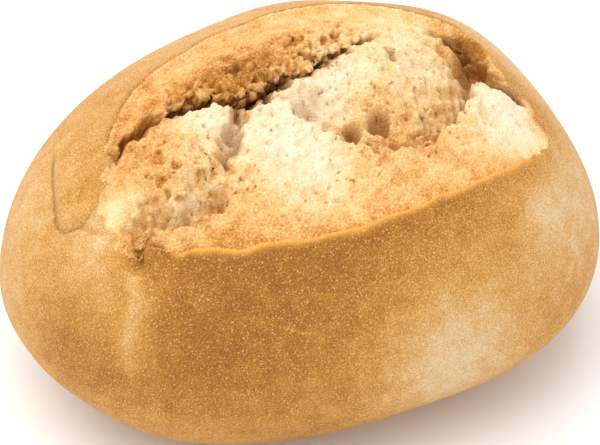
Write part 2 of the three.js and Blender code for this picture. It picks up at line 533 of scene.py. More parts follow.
    def lean(self, plan: Array, inside: Array) -> Array:
        """Finds how far the crevices draw their feet under their gentle walls.

        Args:
            plan: Points in plan.
            inside: Their distances inside the rim.

        Returns:
            Shifts in plan.
        """
        drawn = sum(crevice.opening(plan)[:, None] * np.array(crevice.lean) for crevice in self.crevices)
        return drawn * ease(0, self.opening_reach, inside)[:, None]

    def torn_plan(self, plan: Array) -> Array:
        """Moves points in plan a little to and fro, so that the edges in the crumb are ragged.

        Args:
            plan: Points in plan.

        Returns:
            The moved points.
        """
        flat = np.column_stack([plan, np.zeros(len(plan))])
        places = (flat + self.ragged_shift * i for i in range(2))
        shift = [self.noise.rough(place, self.ragged_size, self.ragged_octaves) for place in places]
        return plan + self.ragged * np.stack(shift, 1)

    def rim_ragged(self, plan: Array) -> Array:
        """Finds how ragged the rim is: hardly along the front lip, and fully at both ends.

        Args:
            plan: Points in plan.

        Returns:
            Shares from 0 to 1.
        """
        x = plan[:, 0]
        ends = np.maximum(ease(*self.ragged_left, x), ease(*self.ragged_right, x))
        return self.lip_ragged + (1 - self.lip_ragged) * ends

    def bubble_depth(self, plan: Array) -> Array:
        """Sums the open bubbles at each point in plan.

        Args:
            plan: Points in plan.

        Returns:
            Depths, 0 outside every bubble.
        """
        depth = np.zeros(len(plan))
        for bubble in self.bubbles:
            span = np.hypot(*(plan - bubble.at).T) / bubble.radius
            depth += bubble.depth * np.sqrt(np.clip(1 - span * span, 0, 1))
        return depth

    def mound_height(self, plan: Array) -> Array:
        """Sums the mounds and hollows at each point in plan.

        Args:
            plan: Points in plan.

        Returns:
            Heights, negative in a hollow.
        """
        height = np.zeros(len(plan))
        for mound in self.mounds:
            span = np.hypot(*(plan - mound.at).T) / mound.radius
            height += mound.height * np.exp(-self.mound_softness * span * span)
        return height

    def crag_height_at(self, plan: Array, inside: Array) -> Array:
        """Finds the crags' height, which grows away from the rim.

        Args:
            plan: Points in plan.
            inside: Their distances inside the rim.

        Returns:
            Heights, above and below 0.
        """
        x, y = plan.T
        ridge = 1 - 2 * np.abs(lumps(x, y, self.crag_wavelength))
        crags = self.crag_height * ridge + self.fine_crag_height * lumps(y, x, self.fine_crag_wavelength)
        return crags * ease(0, self.crag_reach, inside)

    def relief(self, plan: Array, bubble_plan: Array, inside: Array) -> Array:
        """Finds how far the split raises or lowers the roll's top.

        Args:
            plan: Points in plan.
            bubble_plan: The same points, for the bubbles.
            inside: Their distances inside the rim.

        Returns:
            Height changes.
        """
        backward = ease(self.front_edge, self.back_edge, plan[:, 1])
        rim = backward * self.rim_rise * np.exp(-(((inside + self.rim_width / 2) / self.rim_width) ** 2))
        step = backward * self.rim_step * ease(0, self.step_width, inside)
        sink = self.front_sink + (self.back_sink - self.front_sink) * backward
        sink *= ease(self.left_edge, self.left_edge + self.left_reach, plan[:, 0])
        sink *= 1 - np.exp(-np.maximum(inside, 0) / self.sink_reach)
        hollows = self.mound_height(plan) - self.crevice_depth(plan) - self.bubble_depth(bubble_plan)
        crumb = hollows + self.crag_height_at(plan, inside)
        return rim - step - sink + ease(0, self.opening_reach, inside) * crumb


@dataclass(frozen=True)
class Flake:
    """A flake of crust or crumb, lifted to the left of its curve and cracked along it."""

    rise: float
    edge: float
    reach: float
    curve: PlanCurve
    crack_depth: float = 0.0
    crack_width: float = 0.4
    end: float = 5.0

    def relief(self, plan: Array) -> tuple[Array, Array]:
        """Finds the flake's lift and its crack.

        Args:
            plan: Points in plan.

        Returns:
            Height changes, and how deep in the crack each point is, from 0 to 1.
        """
        signed, from_end = self.curve.beside(plan)
        running = ease(0, self.end, from_end)
        lift = ease(0, self.edge, signed) * ease(self.reach, 0, signed) * running
        crack = np.exp(-((signed / self.crack_width) ** 2)) * running
        return self.rise * lift - self.crack_depth * crack, crack


@dataclass(frozen=True)
class Crease:
    """A fold of the crust along a path in space, or a crack where its height is negative."""

    path: tuple[Place, ...]
    width: float
    height: float
    bake: float = 0.0

    def share(self, points: Array) -> Array:
        """Measures how close points are to the path.

        Args:
            points: Points in millimetres.

        Returns:
            1 on the path, fading over the width and towards the path's ends.
        """
        path = np.array(self.path)
        near = np.zeros(len(points))
        for i, (start, end) in enumerate(zip(path[:-1], path[1:])):
            step = end - start
            along = np.clip((points - start) @ step / (step @ step), 0.0, 1.0)
            span = np.linalg.norm(points - start - along[:, None] * step, axis=1) / self.width
            share = (i + along) / (len(path) - 1)
            near = np.maximum(near, np.exp(-span * span) * np.sqrt(np.sin(math.pi * share)))
        return near


@dataclass(frozen=True)
class Grain:
    """The fine relief of the torn crumb, laid along the surface's normals."""

    clod_size: float = 2.4
    clod_height: float = 0.22
    fluff_size: float = 0.6
    fluff_height: float = 0.23
    pore_size: float = 0.8
    pore_edge: float = 0.55
    pore_foot: float = 0.9
    pore_depth: float = 0.8
    strand_size: float = 0.8
    strand_stretch: float = 6.0
    strand_height: float = 0.35
    strand_way: Plan = (-0.28, -0.96)
    strand_patches: tuple[Tint, ...] = (
        Tint((24, -8, 0), 9.0, 1.2),
        Tint((-14, -1, 0), 5.0, 0.8),
        Tint((3, -5, 0), 5.0, 0.7),
        Tint((-9, -8, 0), 6.0, 0.5),
    )
    crag_size: float = 2.6
    crag_height: float = 2.8
    crag_middle: float = 0.3
    crag_patches: tuple[Tint, ...] = (
        Tint((-17, 4.4, 0), 4.5, 0.8),
        Tint((-7, 3.4, 0), 6.0, 1.2),
        Tint((6, 5, 0), 5.0, 1.0),
        Tint((15, 9, 0), 5.0, 0.4),
        Tint((21, -13, 0), 5.0, 0.4),
        Tint((-32, -14, 0), 5.0, 0.6),
        Tint((-24, -12, 0), 5.0, 0.4),
        Tint((33, 4, 0), 4.0, 0.6),
    )
    cavity_depth: float = 0.55
    calm_reach: float = 11.0
    calm_share: float = 0.84
    reach: float = 2.0
    octaves: int = 2
    crag_octaves: int = 3
    fluff_middle: float = 0.4
    pore_shift: float = 7.7
    crag_shift: float = 3.1
    noise: Noise = Noise(5)

    def strands(self, points: Array) -> Array:
        """Draws the crumb out into strands that run down from the back lip.

        Args:
            points: Points of the coarse surface.

        Returns:
            Heights from about -1.5 to 1.5.
        """
        along = points[:, :2] @ np.array(self.strand_way)
        across = points[:, :2] @ np.array((-self.strand_way[1], self.strand_way[0]))
        stretch = self.strand_stretch
        drawn = np.column_stack([across, along / stretch, points[:, 2] / stretch])
        return self.noise.rough(drawn, self.strand_size, self.octaves)

    def height(self, points: Array, inside: Array) -> tuple[Array, Array]:
        """Works out the fine relief.

        Args:
            points: Points of the coarse surface.
            inside: Their distances inside the rim.

        Returns:
            Heights along the normals, and how deep in a cavity each point is, from 0 to 1.
        """
        torn = ease(0, self.reach, inside)
        rough = 1 - self.calm_share * (1 - ease(0, self.calm_reach, inside))
        clods = self.clod_height * self.noise.rough(points, self.clod_size, self.octaves)
        folds = np.abs(self.noise.rough(points, self.fluff_size, self.octaves))
        fluff = self.fluff_height * (self.fluff_middle - folds)
        holes = self.noise.rough(points + self.pore_shift, self.pore_size, self.octaves)
        pores = ease(self.pore_edge, self.pore_foot, holes)
        drawn = sum(patch.spread(points[:, :2]) for patch in self.strand_patches)
        strands = drawn * self.strand_height * self.strands(points)
        craggy = sum(patch.spread(points[:, :2]) for patch in self.crag_patches)
        rocks = self.noise.rough(points + self.crag_shift, self.crag_size, self.crag_octaves)
        crags = craggy * self.crag_height * (self.crag_middle - np.abs(rocks))
        relief = rough * (clods + fluff - self.pore_depth * pores) + strands + crags
        return torn * relief, torn * np.clip(-relief / self.cavity_depth, 0, 1)


@dataclass(frozen=True)
class Layout:
    """Where the roll is toasted and baked, and where shade and highlight are painted: soft patches,
    and shares with their edges.
    """

    toast_level: float = 0.64
    toast_tints: tuple[Tint, ...] = (
        Tint((-10, -8, 0), 8, -0.4),
        Tint((-7, -15, 0), 8, -0.4),
        Tint((-5, -20, 0), 5, -0.3),
        Tint((1, -4, 0), 7, -0.45),
        Tint((8, -2, 0), 6, -0.35),
        Tint((22, -3, 0), 9, -0.25),
        Tint((9, -8.5, 0), 5, 0.1),
        Tint((40, -17, 0), 4, 0.35),
        Tint((33, -14, 0), 7, -0.55),
        Tint((34, -20, 0), 6, -0.4),
        Tint((24, -20, 0), 7, -0.1),
        Tint((-19, -1.5, 0), 5, -0.5),
        Tint((-33, -6, 0), 5, 0.2),
        Tint((-38, -8, 0), 4, -0.4),
        Tint((-28, -15, 0), 5, -0.3),
        Tint((-26, 6, 0), 7, 0.22),
        Tint((-11, 5, 0), 7, 0.34),
        Tint((0, 4, 0), 6, 0.3),
        Tint((28, 8, 0), 8, -0.15),
        Tint((35, 3, 0), 5, 0.45),
        Tint((-22, -11, 0), 4, -0.1),
        Tint((14, -4, 0), 8, -0.08),
        Tint((20, 9, 0), 8, -0.12),
        Tint((-27, -21, 0), 7, 0.15),
    )
    lip_toast: float = 0.2
    lip_reach: float = 2.5
    # Darker crust below the front lip: partly its own browning, partly painted shade.
    front_bake_and_shade: float = 0.3
    front_reach: float = 8.0
    # A painted shadow along the step under the back rim.
    back_rim_shadow: float = 0.3
    # Painted shade in the pits of the craggy patches.
    crag_pit_shade: float = 0.6
    # Painted shade that turns the crumb's pits golden.
    pit_shade: float = 0.3
    # Painted shade in cracks, crevices and bubbles, deeper is darker; partly browning in the crevices.
    crack_shade: float = 0.42
    crevice_shade_and_browning: float = 0.6
    crevice_edges: Plan = (2.5, 8.0)
    bubble_shade: float = 0.5
    bubble_edges: Plan = (0.6, 2.2)
    # Where the painted shade on the crevices' walls starts and is full.
    wall_shade_edges: Plan = (0.02, 0.3)
    forward_edges: Plan = (8.0, -12.0)
    back_edges: Plan = (0.0, 8.0)
    lip_left: Plan = (-36.0, -30.0)
    lip_right: Plan = (36.0, 30.0)
    bake_level: float = 0.5
    bake_tints: tuple[Tint, ...] = (
        Tint((8, -43, 24), 14, -0.5),
        Tint((29, -35, 37), 10, -0.1),
        Tint((41, -27, 36), 14, -0.4),
        Tint((31.5, -32, 39.5), 4, -0.25),
        Tint((50, 0, 32), 16, -0.3),
        Tint((44, 6, 42), 12, -0.2),
        Tint((-46, 12, 40), 10, -0.15),
        Tint((-14, -40, 8), 12, 0.2),
        Tint((-46, -12, 37), 8, -0.2),
        Tint((-42, -20, 35), 7, -0.15),
        Tint((-17, -34, 42), 22, 0.2),
        Tint((-33, -30, 30), 12, 0.2),
        Tint((-50, -14, 28), 11, 0.24),
        Tint((-52, 4, 26), 14, -0.15),
        Tint((-41, -9, 44), 6, -0.5),
        Tint((-4, 30, 48), 22, -0.15),
    )


def geodesic(rows: int) -> tuple[Array, Array]:
    """Divides a ball's surface evenly into triangles.

    Args:
        rows: Rows of triangles along each edge of the first twenty.

    Returns:
        Unit directions, and the corners of each triangle, counterclockwise from outside.
    """
    golden = (1 + math.sqrt(5)) / 2
    corners = [(s, t * golden, 0) for t in (1, -1) for s in (-1, 1)]
    corners += [(0, s, t * golden) for t in (1, -1) for s in (-1, 1)]
    corners += [(t * golden, 0, s) for t in (1, -1) for s in (-1, 1)]
    corners = np.array(corners, float)
    edge, slack = 2.0, 0.01
    spans = np.linalg.norm(corners[:, None] - corners[None], axis=2)
    near = np.abs(spans - edge) < slack
    triples = itertools.combinations(range(len(corners)), 3)
    first = [(a, b, c) for a, b, c in triples if near[a, b] and near[a, c] and near[b, c]]
    points: list[Array] = []
    faces: list[Array] = []
    grid = [(i, j) for i in range(rows + 1) for j in range(rows + 1 - i)]
    index = {cell: k for k, cell in enumerate(grid)}
    upright = [((i, j), (i + 1, j), (i, j + 1)) for i, j in grid if i + j < rows]
    turned = [((i + 1, j), (i + 1, j + 1), (i, j + 1)) for i, j in grid if i + j < rows - 1]
    pattern = [[index[cell] for cell in triangle] for triangle in upright + turned]
    shares = np.array(grid, float) / rows
    for a, b, c in first:
        if np.dot(np.cross(corners[b] - corners[a], corners[c] - corners[a]), corners[a]) < 0:
            b, c = c, b
        along, across = corners[b] - corners[a], corners[c] - corners[a]
        faces.append(np.array(pattern) + len(points) * len(grid))
        points.append(corners[a] + shares[:, :1] * along + shares[:, 1:] * across)
    stacked = np.vstack(points)
    stacked /= np.linalg.norm(stacked, axis=1, keepdims=True)
    decimals = 7
    keys, whole = np.unique(np.round(stacked, decimals), axis=0, return_inverse=True)
    return keys / np.linalg.norm(keys, axis=1, keepdims=True), whole.ravel()[np.vstack(faces)]


@dataclass(frozen=True)
class Surface:
    """Triangles with a mask value for each point and each mask."""

    points: Array
    faces: Array
    masks: dict[Mask, Array]

    def normals(self) -> Array:
        """Averages the triangles' normals round each point.

        Returns:
            Unit vectors.
        """
        a, b, c = (self.points[self.faces[:, i]] for i in range(3))
        flat = np.cross(b - a, c - a)
        count = len(self.points)
        shares = [[np.bincount(corner, along, count) for corner in self.faces.T] for along in flat.T]
        normals = np.stack([sum(share) for share in shares], 1)
        return normals / np.maximum(np.linalg.norm(normals, axis=1, keepdims=True), TINY)

    def piece(self, name: str) -> bpy.types.Object:
        """Makes a smooth object of the surface, with its masks, that rides on the part.

        Args:
            name: The object's name.

        Returns:
            The object.
        """
        mesh = bpy.data.meshes.new(name)
        mesh.from_pydata((self.points * MM).tolist(), [], self.faces.tolist())
        mesh.polygons.foreach_set("use_smooth", np.ones(len(self.faces), bool))
        for mask, values in self.masks.items():
            layer = mesh.attributes.new(mask.value, "FLOAT", "POINT")
            layer.data.foreach_set("value", np.clip(values, 0.0, 1.0).astype(np.float32))
        mesh.update()
        piece = bpy.data.objects.new(name, mesh)
        bpy.context.scene.collection.objects.link(piece)
        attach(piece, "root")
        return piece


class Value:
    """A shader socket that takes part in Python arithmetic, where each step adds a Math node."""

    def __init__(self, board: "Board", socket: bpy.types.NodeSocket) -> None:
        """Wraps a socket of the board's nodes."""
        self.board = board
        self.socket = socket

    def _math(self, kind: Maths, first: "Feed", second: "Feed") -> "Value":
        """Adds a Math node.

        Args:
            kind: What it does.
            first: Its first value.
            second: Its second value.

        Returns:
            Its result.
        """
        node = self.board.node("ShaderNodeMath", {"operation": kind.value}, {0: first, 1: second})
        return Value(self.board, node.outputs[0])

    def __add__(self, other: "Feed") -> "Value":
        """Adds."""
        return self._math(Maths.ADD, self, other)

    def __radd__(self, other: "Feed") -> "Value":
        """Adds, from the right."""
        return self._math(Maths.ADD, other, self)

    def __sub__(self, other: "Feed") -> "Value":
        """Subtracts."""
        return self._math(Maths.SUBTRACT, self, other)

    def __rsub__(self, other: "Feed") -> "Value":
        """Subtracts from a number."""
        return self._math(Maths.SUBTRACT, other, self)

    def __mul__(self, other: "Feed") -> "Value":
        """Multiplies."""
        return self._math(Maths.MULTIPLY, self, other)

    def __rmul__(self, other: "Feed") -> "Value":
        """Multiplies, from the right."""
        return self._math(Maths.MULTIPLY, other, self)

    def ease(self, low: float, high: float) -> "Value":
        """Blends smoothly from 0 at low to 1 at high.

        Args:
            low: The value that gives 0.
            high: The value that gives 1.

        Returns:
            Shares from 0 to 1.
        """
        node = self.board.node(
            "ShaderNodeMapRange",
            {"interpolation_type": "SMOOTHSTEP"},
            {"Value": self, "From Min": low, "From Max": high, "To Min": 0.0, "To Max": 1.0},
        )
        return Value(self.board, node.outputs["Result"])


Feed = Union[Value, bpy.types.NodeSocket, float, int, Sequence[float]]


class Board:
    """A material's node tree, with its one Principled shader."""

    MIX_FACTOR, MIX_FIRST, MIX_SECOND, MIX_RESULT = 0, 6, 7, 2

    def __init__(self, name: str) -> None:
        """Starts a material with an empty tree and a Principled shader."""
        self.material = bpy.data.materials.new(name)
        self.material.use_nodes = True
        self.tree = self.material.node_tree
        self.tree.nodes.clear()
        self.shader = self.node("ShaderNodeBsdfPrincipled", {}, {})
        self.node("ShaderNodeOutputMaterial", {}, {"Surface": self.shader.outputs["BSDF"]})
        coordinates = self.node("ShaderNodeTexCoord", {}, {})
        self.place = coordinates.outputs["Object"]

    def node(self, kind: str, settings: Mapping[str, Any], feeds: Mapping[Any, Feed]) -> bpy.types.Node:
        """Adds a node.

        Args:
            kind: The node's type.
            settings: Its own settings. The key stops holds a colour ramp's places and colours.
            feeds: Values or links for its input sockets, by name or number.

        Returns:
            The node.
        """
        node = self.tree.nodes.new(kind)
        for name, setting in settings.items():
            if name == "stops":
                self._set_stops(node.color_ramp, setting)
            else:
                setattr(node, name, setting)
        for name, feed in feeds.items():
            self.feed(node.inputs[name], feed)
        return node

    def feed(self, socket: bpy.types.NodeSocket, feed: Feed) -> None:
        """Links a socket, or sets its value.

        Args:
            socket: The input socket.
            feed: What it is linked to, or its value.
        """
        if isinstance(feed, Value):
            feed = feed.socket
        if isinstance(feed, bpy.types.NodeSocket):
            self.tree.links.new(feed, socket)
        else:
            socket.default_value = feed

    @staticmethod
    def _set_stops(ramp: bpy.types.ColorRamp, stops: Sequence[tuple[float, Sequence[float]]]) -> None:
        """Gives a colour ramp its stops.

        Args:
            ramp: The colour ramp.
            stops: Places from 0 to 1, with a colour for each.
        """
        while len(ramp.elements) < len(stops):
            ramp.elements.new(1.0)
        for element, (place, colour) in zip(ramp.elements, stops):
            element.position = place
            element.color = colour

    def mask(self, mask: Mask) -> Value:
        """Reads a point mask."""
        node = self.node("ShaderNodeAttribute", {"attribute_name": mask.value}, {})
        return Value(self, node.outputs["Fac"])

    def noise(self, size: float, detail: float = 2.0) -> Value:
        """Adds a noise texture.

        Args:
            size: Size of its lumps, in millimetres.
            detail: How many finer octaves it has.

        Returns:
            Values round 0.5.
        """
        feeds = {"Vector": self.place, "Scale": 1 / (size * MM), "Detail": detail}
        return Value(self, self.node("ShaderNodeTexNoise", {}, feeds).outputs["Fac"])

    def spots(self, size: float) -> Value:
        """Adds round spots, one in each cell of the size, as distances from their middles."""
        feeds = {"Vector": self.place, "Scale": 1 / (size * MM)}
        return Value(self, self.node("ShaderNodeTexVoronoi", {}, feeds).outputs["Distance"])

    def mix(self, factor: Feed, first: Feed, second: Feed) -> bpy.types.NodeSocket:
        """Mixes two colours.

        Args:
            factor: Share of the second.
            first: The first colour.
            second: The second colour.

        Returns:
            The mixed colour's socket.
        """
        feeds = {self.MIX_FACTOR: factor, self.MIX_FIRST: first, self.MIX_SECOND: second}
        node = self.node("ShaderNodeMix", {"data_type": "RGBA"}, feeds)
        return node.outputs[self.MIX_RESULT]

    def ramp(self, factor: Feed, stops: Sequence[tuple[float, Sequence[float]]]) -> bpy.types.NodeSocket:
        """Adds a colour ramp and gives its colour's socket."""
        return self.node("ShaderNodeValToRGB", {"stops": stops}, {"Fac": factor}).outputs["Color"]

    def bump(self, height: Feed, depth: float) -> bpy.types.NodeSocket:
        """Turns a height from 0 to 1 into a bump of the depth in millimetres, and gives its normal."""
        feeds = {"Height": height, "Distance": depth * MM, "Strength": 1.0}
        return self.node("ShaderNodeBump", {}, feeds).outputs["Normal"]


@dataclass(frozen=True)
class CrustFinish:
    """Baked crust: pale gold to brown, with fine pale spots and darker cracks.

    The pale spots are partly its own blistering and partly painted glints, the darker cracks are painted
    shade, and a bright line along the front lip is partly its own orange and partly painted highlight.
    Its bake mask also carries a painted shadow under the back rim and painted shade below the front lip.
    """

    name: str = "crust"
    pale: Shade = linear(228, 202, 160)
    gold: Shade = linear(219, 163, 86)
    brown: Shade = linear(194, 132, 50)
    dark: Shade = linear(152, 90, 28)
    # A painted highlight along the front lip, partly the crust edge's own orange.
    rim: Shade = linear(252, 182, 84)
    # Pale spots: partly the crust's own blistering, partly painted glints.
    blister_and_glint: Shade = linear(242, 206, 148)
    # Painted shade in the flakes' cracks.
    crack: Shade = linear(104, 62, 24)
    roughness: float = 0.55
    mottle_size: float = 3.5
    grain_size: float = 0.28
    blister_and_glint_size: float = 0.75
    mottle_detail: float = 3.0
    mottle_edges: Plan = (0.25, 0.75)
    grain_edges: Plan = (0.3, 0.7)
    blister_and_glint_edges: Plan = (0.12, 0.28)
    mottle_share: float = 0.18
    grain_share: float = 0.42
    blister_and_glint_share: float = 0.5
    lip_tone_and_highlight_share: float = 0.9
    roughness_share: float = 0.2
    bump_depth: float = 0.12
    specular: float = 0.25

    def build(self) -> bpy.types.Material:
        """Makes the material.

        Returns:
            The material.
        """
        board = Board(self.name)
        # Bake, plus a painted shadow under the back rim and painted shade below the front lip.
        bake = board.mask(Mask.BAKE_AND_SHADE)
        mottle = board.noise(self.mottle_size, self.mottle_detail).ease(*self.mottle_edges)
        grain = board.noise(self.grain_size).ease(*self.grain_edges)
        level = bake + (mottle - 0.5) * self.mottle_share + (grain - 0.5) * self.grain_share
        stops = [(0.0, self.pale), (0.35, self.gold), (0.65, self.brown), (1.0, self.dark)]
        colour = board.ramp(level, stops)
        # Pale spots: partly the crust's own blistering, partly painted glints.
        blisters_and_glints = 1.0 - board.spots(self.blister_and_glint_size).ease(*self.blister_and_glint_edges)
        colour = board.mix(blisters_and_glints * self.blister_and_glint_share, colour, self.blister_and_glint)
        # A painted highlight along the front lip, partly its own orange.
        colour = board.mix(board.mask(Mask.LIP_TONE_AND_HIGHLIGHT) * self.lip_tone_and_highlight_share, colour, self.rim)
        # Painted shade in the cracks.
        colour = board.mix(board.mask(Mask.SHADE_AND_BROWNING), colour, self.crack)
        sockets = board.shader.inputs
        board.feed(sockets["Base Color"], colour)
        board.feed(sockets["Roughness"], self.roughness + (grain - 0.5) * self.roughness_share)
        board.feed(sockets["Normal"], board.bump(grain, self.bump_depth))
        sockets["Specular IOR Level"].default_value = self.specular
        return board.material


@dataclass(frozen=True)
class CrumbFinish:
    """Torn crumb: cream where it is soft, golden where it is toasted, brown in its hollows.

    The brown in its hollows is painted shade, partly the crumb's own browning, and painted shade turns
    its pits golden.
    """

    name: str = "crumb"
    cream: Shade = linear(246, 225, 194)
    straw: Shade = linear(246, 217, 171)
    gold: Shade = linear(239, 195, 130)
    tan: Shade = linear(221, 159, 87)
    brown: Shade = linear(182, 118, 48)
    # Painted shade in crevices, bubbles and pits, partly the crumb's own browning.
    hollow: Shade = linear(172, 118, 58)
    roughness: float = 0.85
    mottle_size: float = 3.0
    fine_size: float = 0.4
    mottle_detail: float = 3.0
    noise_edges: Plan = (0.25, 0.75)
    mottle_share: float = 0.25
    fine_share: float = 0.3
    bump_depth: float = 0.16
    specular: float = 0.2

    def build(self) -> bpy.types.Material:
        """Makes the material.

        Returns:
            The material.
        """
        board = Board(self.name)
        # Toast, with painted shade that turns the pits golden.
        toast = board.mask(Mask.TOAST_AND_PIT_SHADE)
        mottle = board.noise(self.mottle_size, self.mottle_detail).ease(*self.noise_edges)
        fine = board.noise(self.fine_size).ease(*self.noise_edges)
        level = toast + (mottle - 0.5) * self.mottle_share + (fine - 0.5) * self.fine_share
        colours = (self.cream, self.straw, self.gold, self.tan, self.brown)
        colour = board.ramp(level, list(zip((0.0, 0.3, 0.55, 0.8, 1.0), colours)))
        # Painted shade in the hollows, partly their own browning.
        colour = board.mix(board.mask(Mask.SHADE_AND_BROWNING), colour, self.hollow)
        sockets = board.shader.inputs
        board.feed(sockets["Base Color"], colour)
        board.feed(sockets["Normal"], board.bump(fine, self.bump_depth))
        sockets["Roughness"].default_value = self.roughness
        sockets["Specular IOR Level"].default_value = self.specular
        return board.material


@dataclass(frozen=True)
class FloorFinish:
    """Plain pale paper."""

    name: str = "pale_floor"
    colour: Shade = linear(246, 246, 245)
    roughness: float = 0.9

    def build(self) -> bpy.types.Material:
        """Makes the material.

        Returns:
            The material.
        """
        board = Board(self.name)
        board.shader.inputs["Base Color"].default_value = self.colour
        board.shader.inputs["Roughness"].default_value = self.roughness
        return board.material


@dataclass
class BreadRoll:
    """The roll: its form, its masks and its two finishes."""

    node: str = "bread_roll"
    slot: str = "crust"
    facet_rows: int = 98
    split_fineness: float = 2.0
    split_middle: Plan = (1.0, -8.0)
    relief_fade: float = 12.0
    # Width of the painted highlight along the front lip and the painted shadow under the back rim.
    lip_width: float = 0.65
    body: Body = field(default_factory=Body)
    split: Split = field(default_factory=Split)
    flakes: tuple[Flake, ...] = (
        # The tongue of crust at the left end.
        Flake(1.0, 1.2, 9.0, PlanCurve((
            (-39.4, 15.6), (-42.5, 9.4), (-44.5, 4), (-45.8, 0.3), (-45.4, -2.2), (-43.4, -4.3),
            (-41.5, -4.4), (-40, -4),
        )), crack_depth=0.7, crack_width=0.24, end=3.0),
        # The curl of the left lobe.
        Flake(1.6, 0.5, 4.5, PlanCurve((
            (-27.5, -11), (-25, -12.2), (-22.5, -13), (-20, -12.8), (-18.6, -11),
        )), end=2.0),
        # The ledge at the front lip's left corner.
        Flake(1.4, 0.6, 2.6, PlanCurve((
            (-33.3, -19.6), (-34.8, -18.1), (-36.3, -16.7), (-37.9, -16), (-39.2, -15.7),
        )), crack_depth=1.2, crack_width=0.6, end=2.0),
    )
    creases: tuple[Crease, ...] = (
        # The fold below the front lip's left corner.
        Crease((
            (-39, -18, 43), (-40.4, -20.9, 39.4), (-42.7, -23.4, 33), (-44.2, -25, 26),
        ), 2.2, 0.7, -0.3),
        # A pale crack in the front crust.
        Crease(((-26.7, -31.7, 38.7), (-22, -34.6, 37.2), (-16.5, -37.4, 34.8)), 0.4, -0.35, -0.25),
        # The notch and the crest at the corner.
        Crease(((-35.5, -13, 48), (-37.6, -15.4, 46), (-39, -17.6, 43.6), (-40, -19.4, 41)), 1.2, -1.8),
        Crease(((-37.6, -18.2, 44), (-36.2, -18, 44.8), (-34.8, -18.2, 45)), 1.2, 1.1),
        # The crack from the tongue to the crumb.
        Crease(((-43.4, -4.3, 43.7), (-42.7, -7, 44), (-40.7, -10, 45.2)), 0.35, -0.5, 0.3),
        # The fold's pale edge.
        Crease((
            (-40.1, -16.6, 43), (-40.4, -20.9, 39.4), (-42.4, -23.2, 34.1), (-43.8, -24.3, 29.3),
            (-43.7, -25.9, 24.6),
        ), 0.8, 0.3, -0.35),
        # Two wrinkles at the right end.
        Crease(((36.6, -33.7, 32.4), (37.1, -34.6, 29.7), (37.4, -35.5, 26.4)), 0.7, 0.35, -0.25),
        Crease(((35.8, -35.8, 28.7), (34.4, -37, 27.5), (33.4, -37.8, 26.2)), 0.7, 0.3, -0.25),
    )
    grain: Grain = field(default_factory=Grain)
    layout: Layout = field(default_factory=Layout)
    crust: CrustFinish = field(default_factory=CrustFinish)
    crumb: CrumbFinish = field(default_factory=CrumbFinish)

    def directions(self) -> tuple[Array, Array]:
        """Lays out directions from the roll's middle, closer together towards the split.

        Returns:
            Unit directions, and the corners of each triangle between them.
        """
        even, faces = geodesic(self.facet_rows)
        x, y, z = even.T
        up = self.split_fineness**2 * (1 + z)
        down = 1 - z
        drawn = np.stack([2 * self.split_fineness * x, 2 * self.split_fineness * y, up - down], 1)
        drawn /= (up + down)[:, None]
        towards = Vector((*self.split_middle, self.body.top_height)).normalized()
        turn = np.array(Vector((0, 0, 1)).rotation_difference(towards).to_matrix())
        return drawn @ turn.T, faces

    def shape(self) -> Surface:
        """Works out the roll's fine form and its masks.

        Returns:
            The surface, in millimetres, centred over its base.
        """
        directions, faces = self.directions()
        points = self.body.points(directions)
        waist = self.body.waist_height
        on_top = ease(waist, waist + self.relief_fade, points[:, 2])
        plan = points[:, :2].copy()
        torn_plan = self.split.torn_plan(plan)
        ragged = plan + (torn_plan - plan) * self.split.rim_ragged(plan)[:, None]
        bubble_plan = plan + (torn_plan - plan) * self.split.bubble_ragged
        inside = np.where(on_top > 0, self.split.inside(ragged), -self.body.length)
        lifts, cracks = zip(*(flake.relief(plan) for flake in self.flakes))
        relief = self.split.relief(torn_plan, bubble_plan, inside) + sum(lifts)
        points[:, 2] = self.body.rest(points[:, 2] + on_top * relief)
        points[:, :2] += on_top[:, None] * self.split.lean(torn_plan, inside)
        normals = Surface(points, faces, {}).normals()
        torn = inside > 0
        height = sum(crease.height * crease.share(points) for crease in self.creases)
        cavity = np.zeros(len(points))
        grain, cavity[torn] = self.grain.height(points[torn], inside[torn])
        height[torn] += grain
        points += normals * height[:, None]
        low, high = points.min(0), points.max(0)
        middle = np.array([(low[0] + high[0]) / 2, (low[1] + high[1]) / 2, low[2]])
        cracked = [crack for flake, crack in zip(self.flakes, cracks) if flake.crack_depth]
        crack = on_top * np.max(cracked, axis=0)
        masks = self.masks(points, torn_plan, bubble_plan, inside, cavity, crack)
        return Surface(points - middle, faces, masks)

    def masks(
        self, points: Array, plan: Array, bubble_plan: Array, inside: Array, cavity: Array, crack: Array
    ) -> dict[Mask, Array]:
        """Works out where the roll is torn, toasted and baked, and where shade and highlight are painted.

        Args:
            points: The roll's points.
            plan: Where they lie in plan, before the fine relief.
            bubble_plan: The same, for the bubbles.
            inside: How far inside the rim they lie.
            cavity: How deep in a cavity of the crumb they are.
            crack: How deep in a flake's crack they are.

        Returns:
            Values for each mask, most of them from 0 to 1.
        """
        layout = self.layout
        torn = inside > 0
        toast = layout.toast_level + sum(tint.spread(plan) for tint in layout.toast_tints)
        x, y = plan.T
        forward = ease(*layout.forward_edges, y)
        toast += forward * layout.lip_toast * np.exp(-np.maximum(inside, 0) / layout.lip_reach)
        bubbles = self.split.bubble_depth(bubble_plan)
        depth = self.split.crevice_depth(plan) + bubbles
        # Painted shade, darker the deeper the crack, crevice or bubble; partly browning in crevices.
        hollow = layout.crack_shade * crack
        hollow += torn * ease(*layout.crevice_edges, depth) * layout.crevice_shade_and_browning
        hollow += layout.bubble_shade * torn * ease(*layout.bubble_edges, bubbles)
        craggy = sum(patch.spread(plan) for patch in self.grain.crag_patches)
        # Painted shade in the pits of the craggy patches.
        hollow += layout.crag_pit_shade * cavity * craggy
